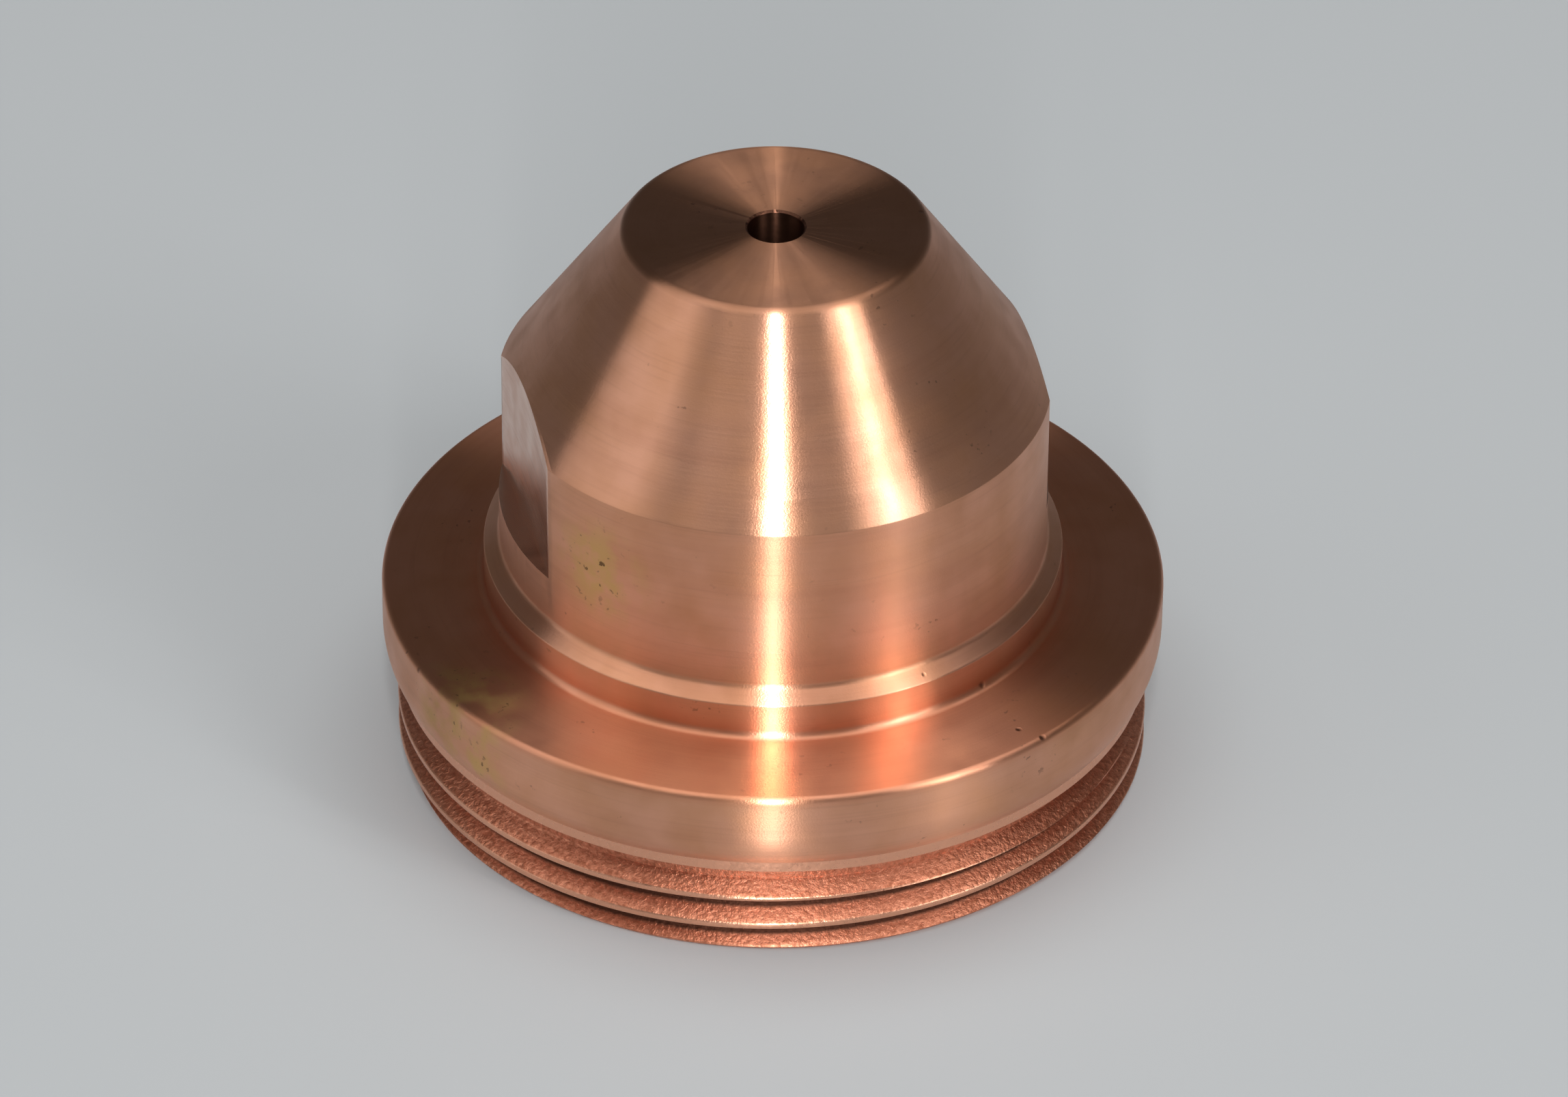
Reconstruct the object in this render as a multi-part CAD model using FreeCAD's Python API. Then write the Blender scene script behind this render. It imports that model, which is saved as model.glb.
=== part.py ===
"""Plasma torch nozzle: one piece of copper, turned on a lathe, bored from the rear and milled with two
spanner flats.

The rear rim stands on Z = 0 and the arc leaves upwards through the front face. Millimetres, +Z up, with
the turning axis on Z and the spanner flats facing -X and +X.
"""
import math
import os

import FreeCAD
import Part

# --- Driving dimensions (mm and degrees) ---

# Threaded shank, which screws into the torch head
shank_diameter = 28.45        # over the crests of the thread
shank_length = 4.35           # rear rim to the underside of the flange
shank_chamfer = 0.35          # lead-in at the rear rim
relief_diameter = 26.6        # thread relief turned under the flange
relief_width = 0.25

# Flange, which closes on the torch head
flange_diameter = 29.5
flange_thickness = 3.1
flange_edge_radius = 0.25
flange_under_radius = 1.2     # rounding down to its underside

# Collar at the foot of the body, with a sloping shoulder
collar_diameter = 21.8
collar_height = 1.4           # straight wall above the flange
shoulder_height = 0.45

# Body and nose
body_diameter = 20.6
face_height = 15.3            # flange to the front face
face_diameter = 11.2          # where nose cone and front face would meet sharp
face_edge_radius = 0.45
nose_half_angle = 35.0        # nose cone, measured from the axis

# Spanner flats, milled across body and nose
flats_across = 19.1
flats_floor = 3.7             # flange to the foot of the flats

# Arc passage and chamber
orifice_diameter = 2.1
orifice_length = 4.2
orifice_break = 0.08          # edge break at the mouth
throat_radius = 0.6           # rounding from the chamber cone into the orifice
chamber_diameter = 14.0
chamber_half_angle = 45.0     # converging cone, measured from the axis
chamber_mouth_chamfer = 0.4

# Register at the rear, for the swirl ring
register_diameter = 22.0
register_depth = 4.0
register_chamfer = 0.35

# --- Heights along the axis, worked out from the sizes above ---

flange_top = shank_length + flange_thickness
front_face = flange_top + face_height
nose_root = front_face - (body_diameter - face_diameter) / 2 / math.tan(math.radians(nose_half_angle))
shoulder_foot = flange_top + collar_height
throat = front_face - orifice_length
chamber_top = throat - (chamber_diameter - orifice_diameter) / 2 / math.tan(math.radians(chamber_half_angle))


class Profile:
    """A half section in the XZ plane, drawn point by point with rounded or chamfered corners."""

    def __init__(self):
        self.corners = []

    def to(self, diameter, z, rounding=0.0, chamfer=0.0):
        """Add a corner at a diameter and a height, with its rounding or its chamfer."""
        self.corners.append((FreeCAD.Vector(diameter / 2, 0, z), rounding, chamfer))
        return self

    def wire(self):
        """Close the section and return it as one wire of lines and arcs."""
        count = len(self.corners)
        cuts = [self._cut(i) for i in range(count)]
        edges = []
        for i in range(count):
            start, middle, end = cuts[i]
            if middle is not None:
                edges.append(Part.Arc(start, middle, end).toShape())
            elif (end - start).Length > 1e-6:
                edges.append(Part.makeLine(start, end))
            following = cuts[(i + 1) % count][0]
            if (following - end).Length > 1e-6:
                edges.append(Part.makeLine(end, following))
        return Part.Wire(edges)

    def _cut(self, i):
        """Where corner i leaves its incoming side, its arc's middle if it has one, and where it ends."""
        corner, rounding, chamfer = self.corners[i]
        back = (self.corners[i - 1][0] - corner).normalize()
        ahead = (self.corners[(i + 1) % len(self.corners)][0] - corner).normalize()
        if rounding:
            half = back.getAngle(ahead) / 2
            setback = rounding / math.tan(half)
            bisector = (back + ahead).normalize()
            middle = corner + bisector * (rounding / math.sin(half) - rounding)
            return corner + back * setback, middle, corner + ahead * setback
        return corner + back * chamfer, None, corner + ahead * chamfer

    def revolve(self):
        """Turn the section through a full circle about Z."""
        return Part.Face(self.wire()).revolve(FreeCAD.Vector(0, 0, 0), FreeCAD.Vector(0, 0, 1), 360)


def turned_blank():
    """The outside as the lathe leaves it, solid to the axis."""
    section = Profile()
    section.to(0, 0)
    section.to(shank_diameter, 0, chamfer=shank_chamfer)
    section.to(shank_diameter, shank_length - relief_width)
    section.to(relief_diameter, shank_length - relief_width)
    section.to(relief_diameter, shank_length)
    section.to(flange_diameter, shank_length, rounding=flange_under_radius)
    section.to(flange_diameter, flange_top, rounding=flange_edge_radius)
    section.to(collar_diameter, flange_top)
    section.to(collar_diameter, shoulder_foot)
    section.to(body_diameter, shoulder_foot + shoulder_height)
    section.to(body_diameter, nose_root)
    section.to(face_diameter, front_face, rounding=face_edge_radius)
    section.to(0, front_face)
    return section.revolve()


def arc_passage():
    """The hollow: register, chamber, converging cone and orifice, open at both ends."""
    section = Profile()
    section.to(0, 0)
    section.to(register_diameter + 2 * register_chamfer, 0)
    section.to(register_diameter, register_chamfer)
    section.to(register_diameter, register_depth)
    section.to(chamber_diameter + 2 * chamber_mouth_chamfer, register_depth)
    section.to(chamber_diameter, register_depth + chamber_mouth_chamfer)
    section.to(chamber_diameter, chamber_top)
    section.to(orifice_diameter, throat, rounding=throat_radius)
    section.to(orifice_diameter, front_face - orifice_break)
    section.to(orifice_diameter + 2 * orifice_break, front_face)
    section.to(0, front_face)
    return section.revolve()


def flat_cutters():
    """Two blocks, one each side, that mill the spanner flats from their foot up past the front face."""
    foot = flange_top + flats_floor
    reach = flange_diameter / 2
    cutters = []
    for side in (-1, 1):
        block = Part.makeBox(reach, 2 * reach, front_face - foot + reach)
        near_edge = flats_across / 2 if side > 0 else -flats_across / 2 - reach
        block.translate(FreeCAD.Vector(near_edge, -reach, foot))
        cutters.append(block)
    return cutters


def nozzle():
    """The finished nozzle."""
    return turned_blank().cut([arc_passage()] + flat_cutters())


os.makedirs("parts", exist_ok=True)
finished = nozzle()
finished.exportStep("parts/nozzle.step")
print("nozzle: valid", finished.isValid(), "solids", len(finished.Solids),
      "volume", round(finished.Volume, 1), "box", finished.BoundBox)
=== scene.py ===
import math

import bmesh
import bpy
import numpy as np
from mathutils import Matrix, Vector


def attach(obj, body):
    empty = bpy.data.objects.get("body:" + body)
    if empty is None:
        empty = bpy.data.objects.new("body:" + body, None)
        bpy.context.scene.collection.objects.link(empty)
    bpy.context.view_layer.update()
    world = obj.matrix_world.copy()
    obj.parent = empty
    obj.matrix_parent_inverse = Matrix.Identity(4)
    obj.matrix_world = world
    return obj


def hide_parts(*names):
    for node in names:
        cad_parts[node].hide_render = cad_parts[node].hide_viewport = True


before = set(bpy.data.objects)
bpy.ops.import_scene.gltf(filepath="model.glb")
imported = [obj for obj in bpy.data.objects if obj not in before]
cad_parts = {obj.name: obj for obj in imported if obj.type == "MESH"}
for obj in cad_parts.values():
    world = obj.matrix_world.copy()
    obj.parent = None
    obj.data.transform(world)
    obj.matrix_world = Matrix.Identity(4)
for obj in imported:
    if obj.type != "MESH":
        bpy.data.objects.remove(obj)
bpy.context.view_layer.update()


# --- Turned outside ---
# The nozzle is one piece of copper bar. Its front face, nose cone, body, sloping shoulder, collar and
# flange are turned in one chucking, so every edge between them has the tool's own small rounding.
# Sizes are diameters in millimetres, and heights are from the rear rim.

FLANGE_TOP = 7.45
FLANGE = 29.5
FLANGE_SIDE = 1.87
UNDER_RADIUS = 2.1
SHANK = 28.45
LAND_FOOT = 3.76
FRONT_FACE = 22.75
ORIFICE = 2.1
ORIFICE_BREAK = 0.08
NOSE_SLOPE = math.tan(math.radians(35.0))
BODY = 20.6
FACE = 11.2
COLLAR = 21.8
SHOULDER_FOOT = 8.85
SHOULDER_TOP = 9.30
FACE_EDGE = 0.45
NOSE_EDGE = 0.07
SHOULDER_ROOT = 0.28
SHOULDER_EDGE = 0.08
COLLAR_ROOT = 0.30
FLANGE_EDGE = 0.25
UNDER_POINTS = 9
NOSE_ROOT = FRONT_FACE - (BODY - FACE) / 2 / NOSE_SLOPE


def turned_run(corners, step_degrees=8.0, shoulder=0.04):
    """Radius and height along a run of corners, each given as (diameter, height, rounding)."""
    spots = [np.array([d / 2, z]) for d, z, _ in corners]
    run = [spots[0]]
    for i in range(1, len(corners) - 1):
        back = spots[i - 1] - spots[i]
        ahead = spots[i + 1] - spots[i]
        back = back / np.linalg.norm(back)
        ahead = ahead / np.linalg.norm(ahead)
        rounding = corners[i][2]
        half = math.acos(float(np.clip(back @ ahead, -1, 1))) / 2
        setback = rounding / math.tan(half)
        start = spots[i] + back * setback
        end = spots[i] + ahead * setback
        bisector = (back + ahead) / np.linalg.norm(back + ahead)
        centre = spots[i] + bisector * rounding / math.sin(half)
        turn = math.pi - 2 * half
        count = max(3, math.ceil(math.degrees(turn) / step_degrees))
        run.append(start + back * shoulder)
        for k in range(count + 1):
            share = k / count
            a = start - centre
            b = end - centre
            mixed = (math.sin((1 - share) * turn) * a + math.sin(share * turn) * b) / math.sin(turn)
            run.append(centre + mixed)
        run.append(end + ahead * shoulder)
    run.append(spots[-1])
    return np.array(run)


outside = turned_run([
    (ORIFICE + 2 * ORIFICE_BREAK, FRONT_FACE, 0),
    (FACE, FRONT_FACE, FACE_EDGE),
    (BODY, NOSE_ROOT, NOSE_EDGE),
    (BODY, SHOULDER_TOP, SHOULDER_ROOT),
    (COLLAR, SHOULDER_FOOT, SHOULDER_EDGE),
    (COLLAR, FLANGE_TOP, COLLAR_ROOT),
    (FLANGE, FLANGE_TOP, FLANGE_EDGE),
    (FLANGE, FLANGE_TOP - FLANGE_SIDE, 0),
])
under_centre = FLANGE / 2 - UNDER_RADIUS
under_turn = math.acos((SHANK / 2 - under_centre) / UNDER_RADIUS)
under = [(FLANGE / 2, FLANGE_TOP - FLANGE_SIDE + 0.06)]
for angle in np.linspace(0, under_turn, UNDER_POINTS):
    under.append((under_centre + UNDER_RADIUS * math.cos(angle),
                  FLANGE_TOP - FLANGE_SIDE - UNDER_RADIUS * math.sin(angle)))
outside = np.concatenate([outside[:-1], under])


# --- Spanner flats ---
# Two flats are milled across body and nose, one each side, so that a spanner can hold the nozzle. Each
# ends above in the curve that a plane cuts from a cone, and below in a narrow ledge on the body.

FLAT = 19.1 / 2
FLAT_FOOT = FLANGE_TOP + 3.7
SHELL_COLUMNS = 92
FLAT_COLUMNS = 28
CURVE_ROWS = 18
FOOT_ANGLE = math.acos(FLAT / (BODY / 2))


def with_flat_rows(run):
    """The outside run with rows at the foot of the flats and evenly along the curve of their cut."""
    extra = [(BODY / 2, FLAT_FOOT)]
    half_width = math.sqrt((BODY / 2) ** 2 - FLAT ** 2)
    for k in range(1, CURVE_ROWS + 1):
        radius = math.hypot(FLAT, half_width * (1 - k / CURVE_ROWS))
        extra.append((radius, FRONT_FACE - (radius - FACE / 2) / NOSE_SLOPE))
    rows = [tuple(row) for row in run]
    for spot in extra:
        place = next(i for i in range(1, len(rows)) if rows[i][1] < spot[1] and rows[i][0] >= spot[0] - 1e-9)
        gap = min(abs(rows[place][1] - spot[1]), abs(rows[place - 1][1] - spot[1]))
        if gap > 1e-4:
            rows.insert(place, spot)
    return np.array(rows)


outside = with_flat_rows(outside)


def edge_angle(radius, height):
    """How far round from the middle of a flat the turned surface begins."""
    if height < FLAT_FOOT - 1e-6:
        return FOOT_ANGLE
    return math.acos(min(1.0, FLAT / max(radius, 1e-6)))


# --- Thread ---
# The rear shank screws into the torch: a right-hand 60 degree thread of 1.27 mm pitch, single-point cut.
# It runs out above into a relief groove under the flange, and below through the chamfer of the rear rim.

PITCH = 1.27
CREST = 0.22
THREAD_DEPTH = 0.692
FLANK = THREAD_DEPTH * math.tan(math.radians(30.0))
CREST_BEARING = math.radians(-104.6)
CREST_HEIGHT = 2.52
HIGHEST_TURN, LOWEST_TURN = 6, -7
RELIEF = 27.06
RELIEF_FOOT = 2.55
RELIEF_WALL = 0.40
REAR_CHAMFER = 0.35

land = [
    (SHANK / 2, LAND_FOOT + 0.25),
    (SHANK / 2, LAND_FOOT + 0.03),
    (SHANK / 2 - 0.03, LAND_FOOT),
    (SHANK / 2 - 0.35, LAND_FOOT - 0.20),
    (RELIEF / 2 + 0.04, LAND_FOOT - RELIEF_WALL + 0.02),
    (RELIEF / 2, LAND_FOOT - RELIEF_WALL - 0.03),
    (RELIEF / 2, RELIEF_FOOT + RELIEF_WALL + 0.02),
]
outside = np.concatenate([outside, land])

half_form = [(0.0, 0.0), (CREST / 2 - 0.03, 0.0), (CREST / 2 - 0.01, 0.008), (CREST / 2 + 0.015, 0.04)]
half_form += [(CREST / 2 + FLANK * k / 6, THREAD_DEPTH * k / 6) for k in range(1, 6)]
half_form += [(CREST / 2 + FLANK - 0.01, THREAD_DEPTH - 0.035), (CREST / 2 + FLANK + 0.03, THREAD_DEPTH)]
other_half = [(-z, depth) for z, depth in half_form[:0:-1]]
thread_form = np.array(other_half + half_form + [(PITCH / 2, THREAD_DEPTH)])


def thread_radius(height, crest):
    """Radius of the cut thread at a height, where the nearest crest has its middle at another."""
    along = (height - crest + PITCH / 2) % PITCH - PITCH / 2
    cut = SHANK / 2 - np.interp(along, thread_form[:, 0], thread_form[:, 1])
    runout = RELIEF / 2 + (RELIEF_FOOT + RELIEF_WALL - height) / RELIEF_WALL * (SHANK - RELIEF) / 2
    return np.minimum(np.minimum(cut, runout), SHANK / 2 - REAR_CHAMFER + height)


def thread_rows(angles):
    """Rows of the thread from the relief to the rear rim, each along the helix: radii and heights."""
    top = RELIEF_FOOT + RELIEF_WALL
    crest = CREST_HEIGHT + PITCH * (angles - CREST_BEARING) / (2 * math.pi)
    rows = []
    for turn in range(HIGHEST_TURN, LOWEST_TURN - 1, -1):
        for step in thread_form[::-1, 0]:
            raw = crest + turn * PITCH + step
            if raw.min() < top + PITCH and raw.max() > -PITCH:
                height = np.clip(raw, 0.0, top)
                rows.append((thread_radius(height, crest), height))
    return rows


# --- Arc passage ---
# The rear is bored for the swirl ring, and narrows through the arc chamber and a 90 degree cone into the
# orifice, whose mouth has only a light edge break.

REGISTER = 22.0
REGISTER_DEPTH = 4.0
REGISTER_CHAMFER = 0.35
CHAMBER = 14.0
CHAMBER_MOUTH = 0.4
CHAMBER_TOP = 12.6
THROAT = 18.55
THROAT_RADIUS = 0.60

passage = turned_run([
    (REGISTER + 2 * REGISTER_CHAMFER, 0.0, 0),
    (REGISTER, REGISTER_CHAMFER, 0.05),
    (REGISTER, REGISTER_DEPTH, 0.10),
    (CHAMBER + 2 * CHAMBER_MOUTH, REGISTER_DEPTH, 0.03),
    (CHAMBER, REGISTER_DEPTH + CHAMBER_MOUTH, 0.03),
    (CHAMBER, CHAMBER_TOP, 0.25),
    (ORIFICE, THROAT, THROAT_RADIUS),
    (ORIFICE, FRONT_FACE - ORIFICE_BREAK, 0.02),
    (ORIFICE + 2 * ORIFICE_BREAK, FRONT_FACE, 0),
], shoulder=0.01)


# --- The nozzle's mesh ---
# One closed skin: two shells between the flats, the sectors under each flat, the flats themselves and
# their ledges, and the passage. Strips that meet share their edge points and are welded.

TURNED, THREADED, MILLED, BORED = range(4)
THREAD_STRETCH = 2.0
PASSAGE_START = 60.0
RIM_RUN = [[50.0], [52.5]]
WELD = 4e-7
SHARP_FROM = 24.0
points = []
runs = []
faces = []
finishes = []


def strip(grid, run_at, finish_of_row):
    """Add a strip of quads over a grid of points, given as rows from front to rear."""
    rows, columns = grid.shape[:2]
    first = len(points)
    points.extend(grid.reshape(-1, 3).tolist())
    runs.extend(np.asarray(run_at).reshape(-1).tolist())
    for i in range(rows - 1):
        for j in range(columns - 1):
            a = first + i * columns + j
            faces.append((a, a + 1, a + columns + 1, a + columns))
            finishes.append(finish_of_row[i])


def sector(start_of, end_of, columns, profile, with_thread):
    """Points of one sector of the turned skin, whose two side angles may change with the row."""
    share = np.linspace(0, 1, columns + 1)
    rows = []
    for radius, height in profile:
        angles = start_of(radius, height) + (end_of(radius, height) - start_of(radius, height)) * share
        level = np.full_like(angles, height)
        rows.append(np.stack([radius * np.cos(angles), radius * np.sin(angles), level], -1))
    if with_thread:
        angles = start_of(0, 0) + (end_of(0, 0) - start_of(0, 0)) * share
        for radius, height in thread_rows(angles):
            rows.append(np.stack([radius * np.cos(angles), radius * np.sin(angles), height], -1))
    return rows


def run_of(profile):
    """Distance along a profile at each of its points."""
    return np.concatenate([[0.0], np.cumsum(np.linalg.norm(np.diff(profile, axis=0), axis=1))])


def whole_run(profile_run, grid):
    """Distance along the skin at each point of a shell, over its profile and on down the thread."""
    run = np.empty(grid.shape[:2])
    count = len(profile_run)
    run[:count] = profile_run[:, None]
    run[count:] = outside_run[-1] + THREAD_STRETCH * (RELIEF_FOOT + RELIEF_WALL - grid[count:, :, 2]) + 0.5
    return run


def shell_finishes(profile, grid):
    """Turned down to the land, and threaded from there on."""
    turned = len(profile) - len(land) - 1
    return [TURNED] * turned + [THREADED] * (len(grid) - 1 - turned)


outside_run = run_of(outside)
passage_run = run_of(passage) + PASSAGE_START

for half_turn in (0.0, math.pi):
    rows = sector(
        lambda r, z: half_turn + edge_angle(r, z),
        lambda r, z: half_turn + math.pi - edge_angle(r, z),
        SHELL_COLUMNS, outside, True)
    grid = np.array(rows)
    strip(grid, whole_run(outside_run, grid), shell_finishes(outside, grid))
    inner = sector(lambda r, z: half_turn, lambda r, z: half_turn + math.pi, SHELL_COLUMNS, passage, False)
    inner_grid = np.array(inner)
    strip(inner_grid, np.repeat(passage_run[:, None], SHELL_COLUMNS + 1, 1), [BORED] * (len(inner) - 1))
    strip(np.array([grid[-1], inner_grid[0]]), np.repeat(RIM_RUN, SHELL_COLUMNS + 1, 1), [TURNED])

below_foot = outside[outside[:, 1] < FLAT_FOOT + 1e-6]
below_run = outside_run[outside[:, 1] < FLAT_FOOT + 1e-6]
on_cut = [(r, z) for r, z in outside if z > FLAT_FOOT - 1e-6 and r >= FLAT - 1e-9]
for middle in (0.0, math.pi):
    side = math.cos(middle)
    rows = sector(
        lambda r, z: middle - FOOT_ANGLE,
        lambda r, z: middle + FOOT_ANGLE,
        FLAT_COLUMNS, below_foot, True)
    grid = np.array(rows)
    strip(grid, whole_run(below_run, grid), shell_finishes(below_foot, grid))
    hub = np.repeat([[side * passage[0, 0], 0.0, 0.0]], FLAT_COLUMNS + 1, 0)
    strip(np.array([grid[-1], hub]), np.repeat(RIM_RUN, FLAT_COLUMNS + 1, 1), [TURNED])
    flat_rows = []
    across = np.linspace(-1, 1, FLAT_COLUMNS + 1)
    for radius, height in on_cut:
        half_width = math.sqrt(max(0.0, radius ** 2 - FLAT ** 2))
        width = half_width * across * side
        flat_rows.append(np.stack([np.full_like(width, side * FLAT), width, np.full_like(width, height)], -1))
    flat_grid = np.array(flat_rows)
    strip(flat_grid, np.zeros(flat_grid.shape[:2]), [MILLED] * (len(flat_grid) - 1))
    strip(np.array([flat_grid[-1], grid[0]]), np.zeros((2, FLAT_COLUMNS + 1)), [MILLED])

skin = bmesh.new()
run_layer = skin.verts.layers.float.new("run")
placed = []
for spot, run in zip(points, runs):
    vertex = skin.verts.new([c / 1000 for c in spot])
    vertex[run_layer] = run
    placed.append(vertex)
for corners, finish in zip(faces, finishes):
    face = skin.faces.new([placed[i] for i in corners])
    face.material_index = finish
    face.smooth = True
bmesh.ops.remove_doubles(skin, verts=skin.verts[:], dist=WELD)
bmesh.ops.recalc_face_normals(skin, faces=skin.faces[:])
loose = [v for v in skin.verts if not v.link_faces]
bmesh.ops.delete(skin, geom=loose, context="VERTS")
nozzle_mesh = bpy.data.meshes.new("nozzle_turned")
skin.to_mesh(nozzle_mesh)
skin.free()
nozzle_mesh.set_sharp_from_angle(angle=math.radians(SHARP_FROM))
nozzle = bpy.data.objects.new("nozzle_turned", nozzle_mesh)
bpy.context.scene.collection.objects.link(nozzle)


# --- Turned copper ---
# Bare copper as the lathe leaves it: fine marks run round it, so light draws out into streaks up and down.
# The front face is painted darker brown, a painted reflection of the dark room it mirrors; the collar's root
# has a painted orange reflection; a few stains, specks and nicks have come with handling.

COPPER = (0.82, 0.41, 0.265)
OXIDE = (0.30, 0.125, 0.075)
WARM_COPPER = (0.74, 0.355, 0.20)
HANDLED_BAND = (0.60, 0.265, 0.165)
FACE_PAINTED_DARK_REFLECTION = (0.27, 0.125, 0.068)
COLLAR_PAINTED_INTERREFLECTION = (0.62, 0.19, 0.085)
STAIN = (0.72, 0.45, 0.17)
SPECK = (0.10, 0.045, 0.03)
NICK = (0.16, 0.07, 0.045)
FRONT_BEARING = math.radians(-14.62)
# each nick by its bearing from the front in degrees, its radius, its height and its size
NICKS = [
    (45.4, 10.9, 7.60, 0.17),
    (41.7, 13.7, 7.45, 0.13),
    (43.1, 14.62, 7.42, 0.15),
    (101.8, 5.45, 22.68, 0.14),
    (31.8, 10.6, 8.98, 0.12),
    (-63.0, 14.7, 7.30, 0.14),
    (158.0, 14.6, 7.42, 0.15),
    (-140.0, 10.4, 9.1, 0.12),
]


class Finish:
    """A material with one Principled shader, and short calls for the nodes that shape it."""

    def __init__(self, name):
        self.material = bpy.data.materials.new(name)
        self.material.use_nodes = True
        self.tree = self.material.node_tree
        self.tree.nodes.clear()
        output = self.tree.nodes.new("ShaderNodeOutputMaterial")
        self.surface = self.tree.nodes.new("ShaderNodeBsdfPrincipled")
        self.join(self.surface.outputs[0], output.inputs["Surface"])

    def join(self, source, target):
        """Link a node's output, or write a plain value, to a socket."""
        if hasattr(source, "links"):
            self.tree.links.new(source, target)
        else:
            target.default_value = source

    def maths(self, operation, first, second=0.0):
        """A scalar sum of two outputs or values."""
        node = self.tree.nodes.new("ShaderNodeMath")
        node.operation = operation
        self.join(first, node.inputs[0])
        self.join(second, node.inputs[1])
        return node.outputs[0]

    def place(self):
        """The point on the nozzle in millimetres."""
        spot = self.tree.nodes.new("ShaderNodeTexCoord")
        scale = self.tree.nodes.new("ShaderNodeVectorMath")
        scale.operation = "SCALE"
        scale.inputs["Scale"].default_value = 1000.0
        self.join(spot.outputs["Object"], scale.inputs[0])
        return scale.outputs[0]

    def parts(self, vector):
        """The three parts of a vector."""
        node = self.tree.nodes.new("ShaderNodeSeparateXYZ")
        self.join(vector, node.inputs[0])
        return node.outputs

    def vector(self, x, y, z):
        """A vector from three parts."""
        node = self.tree.nodes.new("ShaderNodeCombineXYZ")
        self.join(x, node.inputs[0])
        self.join(y, node.inputs[1])
        self.join(z, node.inputs[2])
        return node.outputs[0]

    def noise(self, vector, scale, detail=2.0):
        """Noise of a given scale."""
        node = self.tree.nodes.new("ShaderNodeTexNoise")
        node.inputs["Scale"].default_value = scale
        node.inputs["Detail"].default_value = detail
        self.join(vector, node.inputs["Vector"])
        return node.outputs["Fac"]

    def span(self, value, low, high, start=0.0, end=1.0):
        """A value carried from one range to another and held at its ends."""
        node = self.tree.nodes.new("ShaderNodeMapRange")
        self.join(value, node.inputs["Value"])
        node.inputs["From Min"].default_value = low
        node.inputs["From Max"].default_value = high
        node.inputs["To Min"].default_value = start
        node.inputs["To Max"].default_value = end
        return node.outputs["Result"]

    def mix(self, share, first, second):
        """A colour between two others."""
        node = self.tree.nodes.new("ShaderNodeMix")
        node.data_type = "RGBA"
        self.join(share, node.inputs[0])
        self.join(first if hasattr(first, "links") else (*first, 1), node.inputs[6])
        self.join(second if hasattr(second, "links") else (*second, 1), node.inputs[7])
        return node.outputs[2]

    def bump(self, height, depth, below=None):
        """A relief of a given depth in millimetres, over another relief."""
        node = self.tree.nodes.new("ShaderNodeBump")
        node.inputs["Strength"].default_value = 1.0
        node.inputs["Distance"].default_value = depth / 1000
        self.join(height, node.inputs["Height"])
        if below is not None:
            self.join(below, node.inputs["Normal"])
        return node.outputs["Normal"]

    def spot(self, place, centre, size, soft):
        """A mask that is 1 at a centre and 0 beyond a size."""
        node = self.tree.nodes.new("ShaderNodeVectorMath")
        node.operation = "DISTANCE"
        self.join(place, node.inputs[0])
        node.inputs[1].default_value = centre
        return self.span(node.outputs["Value"], size - soft, size, 1.0, 0.0)

    def round_marks(self, place, per_mm, round_scale):
        """Noise drawn out round the axis, as a lathe tool leaves it."""
        x, y, z = self.parts(place)
        ring = self.tree.nodes.new("ShaderNodeVectorMath")
        ring.operation = "NORMALIZE"
        self.join(self.vector(x, y, 0.0), ring.inputs[0])
        around = self.parts(ring.outputs[0])
        run = self.tree.nodes.new("ShaderNodeAttribute")
        run.attribute_name = "run"
        along = self.maths("MULTIPLY", run.outputs["Fac"], per_mm)
        wide = [self.maths("MULTIPLY", part, round_scale) for part in around[:2]]
        return self.noise(self.vector(wide[0], wide[1], along), 1.0, 3.0)

    def metal(self, colour, roughness, anisotropic, normal):
        """Set the shader as metal whose marks run round the axis."""
        self.surface.inputs["Metallic"].default_value = 1.0
        self.surface.inputs["Anisotropic"].default_value = anisotropic
        self.surface.inputs["Anisotropic Rotation"].default_value = 0.25
        tangent = self.tree.nodes.new("ShaderNodeTangent")
        tangent.direction_type = "RADIAL"
        tangent.axis = "Z"
        self.join(tangent.outputs[0], self.surface.inputs["Tangent"])
        self.join(colour if hasattr(colour, "links") else (*colour, 1), self.surface.inputs["Base Color"])
        self.join(roughness, self.surface.inputs["Roughness"])
        self.join(normal, self.surface.inputs["Normal"])


def on_nozzle(degrees, radius, height):
    """A point in millimetres at a bearing from the front, where the right is positive."""
    bearing = math.radians(degrees) + FRONT_BEARING
    return (radius * math.sin(bearing), -radius * math.cos(bearing), height)


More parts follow.
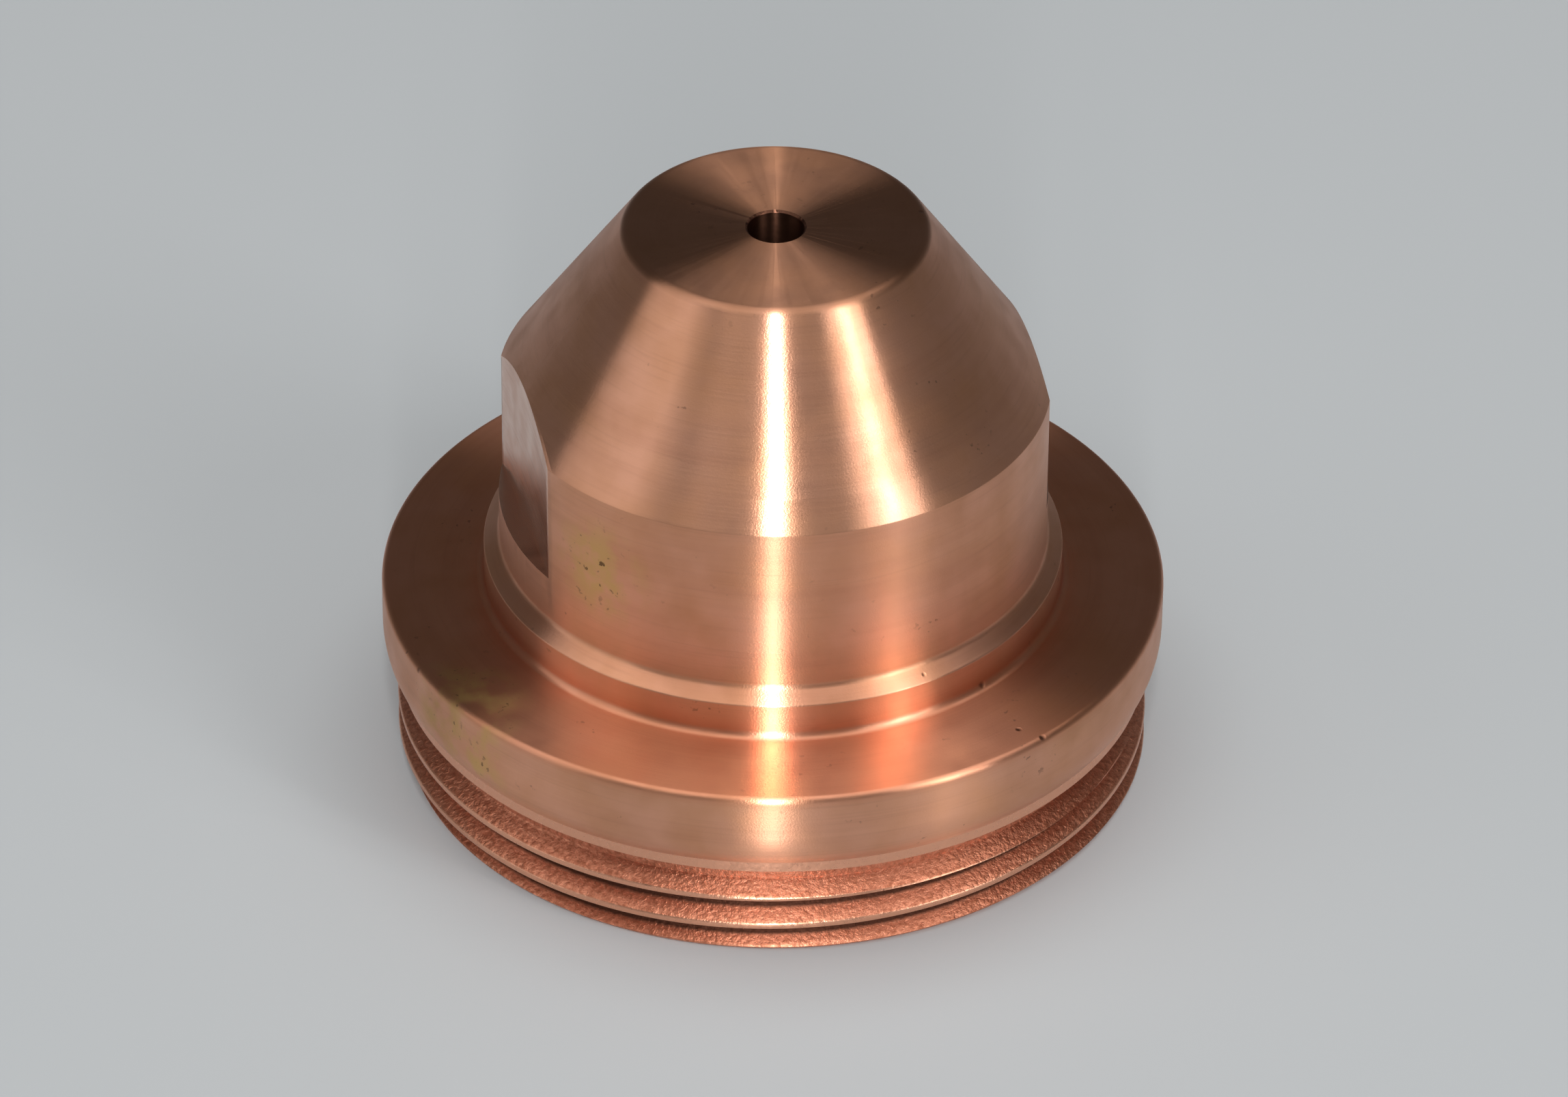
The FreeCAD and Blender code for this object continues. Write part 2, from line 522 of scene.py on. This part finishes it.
def turned_copper():
    """The turned outside."""
    finish = Finish("turned_copper")
    place = finish.place()
    z = finish.parts(place)[2]
    marks = finish.round_marks(place, 9.0, 2.5)
    bands = finish.round_marks(place, 1.6, 0.8)
    cloud = finish.noise(place, 0.35, 4.0)
    grain = finish.noise(place, 14.0, 1.0)

    colour = finish.mix(finish.span(cloud, 0.35, 0.70), COPPER, WARM_COPPER)
    colour = finish.mix(finish.span(bands, 0.45, 0.75, 0.0, 0.28), colour, HANDLED_BAND)
    colour = finish.mix(finish.span(marks, 0.55, 0.80, 0.0, 0.12), colour, OXIDE)
    # painted reflection: the front face is coloured darker brown for the dark room it mirrors, not for its
    # own metal
    front = finish.span(z, 22.52, 22.70)
    colour = finish.mix(finish.maths("MULTIPLY", front, 0.62), colour, FACE_PAINTED_DARK_REFLECTION)
    # painted reflection: a deep orange glow is painted round the collar's root and flange top for light
    # bounced between copper faces
    root = finish.maths("MULTIPLY", finish.span(z, 7.45, 8.3, 1.0, 0.0), finish.span(z, 7.0, 7.45))
    colour = finish.mix(finish.maths("MULTIPLY", root, 0.35), colour, COLLAR_PAINTED_INTERREFLECTION)

    stain = finish.spot(place, on_nozzle(-38, 10.3, 12.9), 2.5, 1.6)
    stain = finish.maths("MULTIPLY", stain, finish.span(finish.noise(place, 0.9, 5.0), 0.38, 0.58))
    low_stain = finish.spot(place, on_nozzle(-52, 14.75, 6.3), 3.2, 1.6)
    low_stain = finish.maths("MULTIPLY", low_stain, finish.span(finish.noise(place, 0.8, 5.0), 0.42, 0.60))
    stained = finish.maths("MAXIMUM", stain, low_stain)
    colour = finish.mix(finish.maths("MULTIPLY", stained, 0.8), colour, STAIN)
    specks = finish.span(finish.noise(place, 3.4, 2.0), 0.66, 0.70)
    near = finish.maths("MAXIMUM", stained, finish.span(finish.noise(place, 0.5, 1.0), 0.60, 0.72, 0.0, 0.55))
    specks = finish.maths("MULTIPLY", specks, near)
    colour = finish.mix(finish.maths("MULTIPLY", specks, 0.8), colour, SPECK)

    nicks = 0.0
    for degrees, radius, height, size in NICKS:
        centre = on_nozzle(degrees, radius, height)
        nicks = finish.maths("MAXIMUM", nicks, finish.spot(place, centre, size, size * 0.8))
    colour = finish.mix(finish.maths("MULTIPLY", nicks, 0.75), colour, NICK)

    roughness = finish.span(finish.noise(place, 0.7, 3.0), 0.3, 0.7, 0.285, 0.345)
    roughness = finish.maths("ADD", roughness, finish.maths("MULTIPLY", stained, 0.10))
    normal = finish.bump(marks, 0.0032)
    normal = finish.bump(grain, 0.0016, normal)
    normal = finish.bump(nicks, -0.014, normal)
    finish.metal(colour, roughness, 1.0, normal)
    return finish.material


nozzle_mesh.materials.append(turned_copper())


# --- Thread copper ---
# The single-point tool tore the flanks a little, so they are rough and sparkle, and burrs stand on the
# crests. The thread roots and the top of the relief under the land are painted near black as painted shade.

BRIGHT_FLANK = (0.80, 0.33, 0.20)
DULL_FLANK = (0.52, 0.19, 0.105)
ROOT_PAINTED_SHADE = (0.07, 0.03, 0.02)


def thread_copper():
    """The thread, its relief and the land above."""
    finish = Finish("thread_copper")
    place = finish.place()
    x, y, z = finish.parts(place)
    square = finish.maths("ADD", finish.maths("MULTIPLY", x, x), finish.maths("MULTIPLY", y, y))
    radius = finish.maths("SQRT", square)
    torn = finish.noise(place, 5.5, 4.0)
    fine = finish.noise(place, 17.0, 2.0)
    marks = finish.round_marks(place, 7.0, 5.0)
    smooth_crest = finish.span(radius, SHANK / 2 - 0.05, SHANK / 2 - 0.01)
    flank_share = finish.maths("SUBTRACT", 1.0, finish.maths("MULTIPLY", smooth_crest, 0.75))

    colour = finish.mix(finish.span(torn, 0.38, 0.66), BRIGHT_FLANK, DULL_FLANK)
    colour = finish.mix(finish.span(fine, 0.56, 0.72, 0.0, 0.6), colour, OXIDE)
    colour = finish.mix(smooth_crest, colour, COPPER)
    # painted shade: the thread roots below the relief and a band at the relief's top under the land are
    # coloured near black where shade falls
    ragged = finish.maths("ADD", radius, finish.span(torn, 0.3, 0.7, -0.03, 0.03))
    in_root = finish.span(ragged, RELIEF / 2 + 0.04, RELIEF / 2 + 0.15, 1.0, 0.0)
    painted_root_shade = finish.maths("MULTIPLY", in_root, finish.span(z, 2.35, 2.5, 1.0, 0.0))
    corner = finish.maths("ABSOLUTE", finish.maths("SUBTRACT", z, 3.42))
    painted_root_shade = finish.maths("MAXIMUM", painted_root_shade, finish.span(corner, 0.05, 0.20, 0.9, 0.0))
    colour = finish.mix(finish.maths("MULTIPLY", painted_root_shade, 0.88), colour, ROOT_PAINTED_SHADE)
    roughness = finish.span(torn, 0.3, 0.7, 0.34, 0.50)
    roughness = finish.maths("SUBTRACT", roughness, finish.maths("MULTIPLY", smooth_crest, 0.10))
    roughness = finish.maths("ADD", roughness, finish.maths("MULTIPLY", painted_root_shade, 0.25))
    normal = finish.bump(finish.maths("MULTIPLY", torn, flank_share), 0.035)
    normal = finish.bump(finish.maths("MULTIPLY", fine, flank_share), 0.010, normal)
    normal = finish.bump(marks, 0.006, normal)
    finish.metal(colour, roughness, 0.75, normal)
    return finish.material


nozzle_mesh.materials.append(thread_copper())


# --- Milled copper ---
# An end mill cut the flats: close, slightly curved lines run across them, and it smeared the copper bright.

SMEARED = (0.80, 0.50, 0.38)
SMEARED_DARK = (0.66, 0.36, 0.25)


def milled_copper():
    """The spanner flats and their ledges."""
    finish = Finish("milled_copper")
    place = finish.place()
    x, y, z = finish.parts(place)
    bow = finish.maths("MULTIPLY", finish.maths("MULTIPLY", y, y), 0.035)
    lift = finish.maths("ADD", z, bow)
    across = finish.maths("MULTIPLY", y, 0.25)
    upward = finish.maths("MULTIPLY", lift, 7.0)
    lines = finish.noise(finish.vector(across, 3.0, upward), 1.0)
    cloud = finish.noise(place, 0.8, 3.0)
    colour = finish.mix(finish.span(cloud, 0.35, 0.7), SMEARED, SMEARED_DARK)
    colour = finish.mix(finish.span(lines, 0.5, 0.75, 0.0, 0.4), colour, OXIDE)
    normal = finish.bump(lines, 0.006)
    finish.metal(colour, finish.span(cloud, 0.3, 0.7, 0.18, 0.26), 0.0, normal)
    return finish.material


nozzle_mesh.materials.append(milled_copper())


# --- Bored copper ---
# The bores are turned less finely than the outside, and the bore is coloured near black towards the orifice.

BORE_COPPER = (0.68, 0.31, 0.19)
ORIFICE_DARKENING = (0.075, 0.03, 0.018)


def bored_copper():
    """The arc passage, from the register to the orifice."""
    finish = Finish("bored_copper")
    place = finish.place()
    z = finish.parts(place)[2]
    marks = finish.round_marks(place, 4.5, 2.0)
    cloud = finish.noise(place, 0.5, 4.0)
    colour = finish.mix(finish.span(cloud, 0.35, 0.7), COPPER, BORE_COPPER)
    colour = finish.mix(finish.span(marks, 0.52, 0.8, 0.0, 0.4), colour, OXIDE)
    # the bore's colour darkens to near black from the arc chamber's top into the orifice
    colour = finish.mix(finish.span(z, 17.5, 19.0, 0.0, 0.9), colour, ORIFICE_DARKENING)
    normal = finish.bump(marks, 0.012)
    finish.metal(colour, finish.span(cloud, 0.3, 0.7, 0.30, 0.38), 0.9, normal)
    return finish.material


nozzle_mesh.materials.append(bored_copper())

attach(nozzle, "root")
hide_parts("nozzle")


# --- Floor ---
# A wide matt sheet of pale grey paper, flat under the nozzle and far past it on every side. It takes the
# nozzle's shadow, and the copper mirrors it.

floor_mesh = bpy.data.meshes.new("floor")
reach = 2.0
floor_corners = [(-reach, -reach, 0), (reach, -reach, 0), (reach, reach, 0), (-reach, reach, 0)]
floor_mesh.from_pydata(floor_corners, [], [(0, 1, 2, 3)])
floor = bpy.data.objects.new("floor", floor_mesh)
bpy.context.scene.collection.objects.link(floor)
paper = Finish("grey_paper")
paper.surface.inputs["Base Color"].default_value = (0.45, 0.47, 0.48, 1)
paper.surface.inputs["Roughness"].default_value = 0.9
paper.surface.inputs["Specular IOR Level"].default_value = 0.1
floor_mesh.materials.append(paper.material)


# --- Light ---
# A broad softbox hangs overhead and draws the two-way fan on every turned face. A narrow upright lamp
# stands by the viewer, three window panes to its right, and a weak fill at the left.

AIM = Vector((0, 0, 0.011))


def lamp(name, azimuth, elevation, distance, width, height, radiance, colour=(1, 1, 1)):
    """A softbox that faces the nozzle, placed by its bearing from the camera's side."""
    light = bpy.data.lights.new(name, "AREA")
    light.shape = "RECTANGLE"
    light.size = width
    light.size_y = height
    light.energy = radiance * math.pi * width * height
    light.color = colour
    holder = bpy.data.objects.new(name, light)
    bearing = FRONT_BEARING + math.radians(azimuth)
    rise = math.radians(elevation)
    back = Vector((math.sin(bearing) * math.cos(rise), -math.cos(bearing) * math.cos(rise), math.sin(rise)))
    holder.location = AIM + back * distance
    holder.rotation_euler = back.to_track_quat("Z", "Y").to_euler()
    bpy.context.scene.collection.objects.link(holder)
    return holder


lamp("overhead", 0, 90, 0.6, 0.86, 0.7, 1.45)
lamp("strip", 0.5, 28, 0.6, 0.028, 0.7, 44.0)
lamp("window_left_pane", 40, 32, 0.6, 0.06, 0.35, 2.0)
lamp("window_middle_pane", 50, 32, 0.6, 0.055, 0.35, 10.0)
lamp("window_right_pane", 59, 32, 0.6, 0.05, 0.35, 6.0)
lamp("left_fill", -75, 30, 0.7, 0.5, 0.5, 0.8)

world = bpy.data.worlds.new("room")
world.use_nodes = True
world.node_tree.nodes["Background"].inputs["Color"].default_value = (1, 1, 1, 1)
world.node_tree.nodes["Background"].inputs["Strength"].default_value = 0.09
bpy.context.scene.world = world


# --- Camera ---
# A long lens, well back, so that the nozzle shows almost without perspective. It looks down from in front,
# a little to the left of the middle.

FLANGE_RADIUS = FLANGE / 2000
EYE_BACK = 22.0
EYE_ASIDE = 0.02804
EYE_LIFT = 0.0606
EYE_DROP = 0.0000386
FOCAL_LENGTH = 197.6585
rise = 0.611596
roll = 0.009667
sideways = Vector((math.cos(FRONT_BEARING), math.sin(FRONT_BEARING), 0))
level = Vector((math.sin(FRONT_BEARING), -math.cos(FRONT_BEARING), 0))
back = level * math.cos(rise) + Vector((0, 0, 1)) * math.sin(rise)
upward = Vector((0, 0, 1)) * math.cos(rise) - level * math.sin(rise)
right = sideways * math.cos(roll) + upward * math.sin(roll)
upright = upward * math.cos(roll) - sideways * math.sin(roll)
eye = Vector((0, 0, FLANGE_TOP / 1000))
eye += FLANGE_RADIUS * (sideways * EYE_ASIDE + back * EYE_BACK + Vector((0, 0, EYE_LIFT)))
eye -= upright * EYE_DROP
lens = bpy.data.cameras.new("camera")
lens.sensor_width = 36.0
lens.lens = FOCAL_LENGTH
lens.clip_start = 0.01
lens.clip_end = 20.0
camera = bpy.data.objects.new("camera", lens)
camera.matrix_world = Matrix.Translation(eye) @ Matrix((right, upright, back)).transposed().to_4x4()
bpy.context.scene.collection.objects.link(camera)
bpy.context.scene.camera = camera
bpy.context.scene.view_settings.view_transform = "Standard"
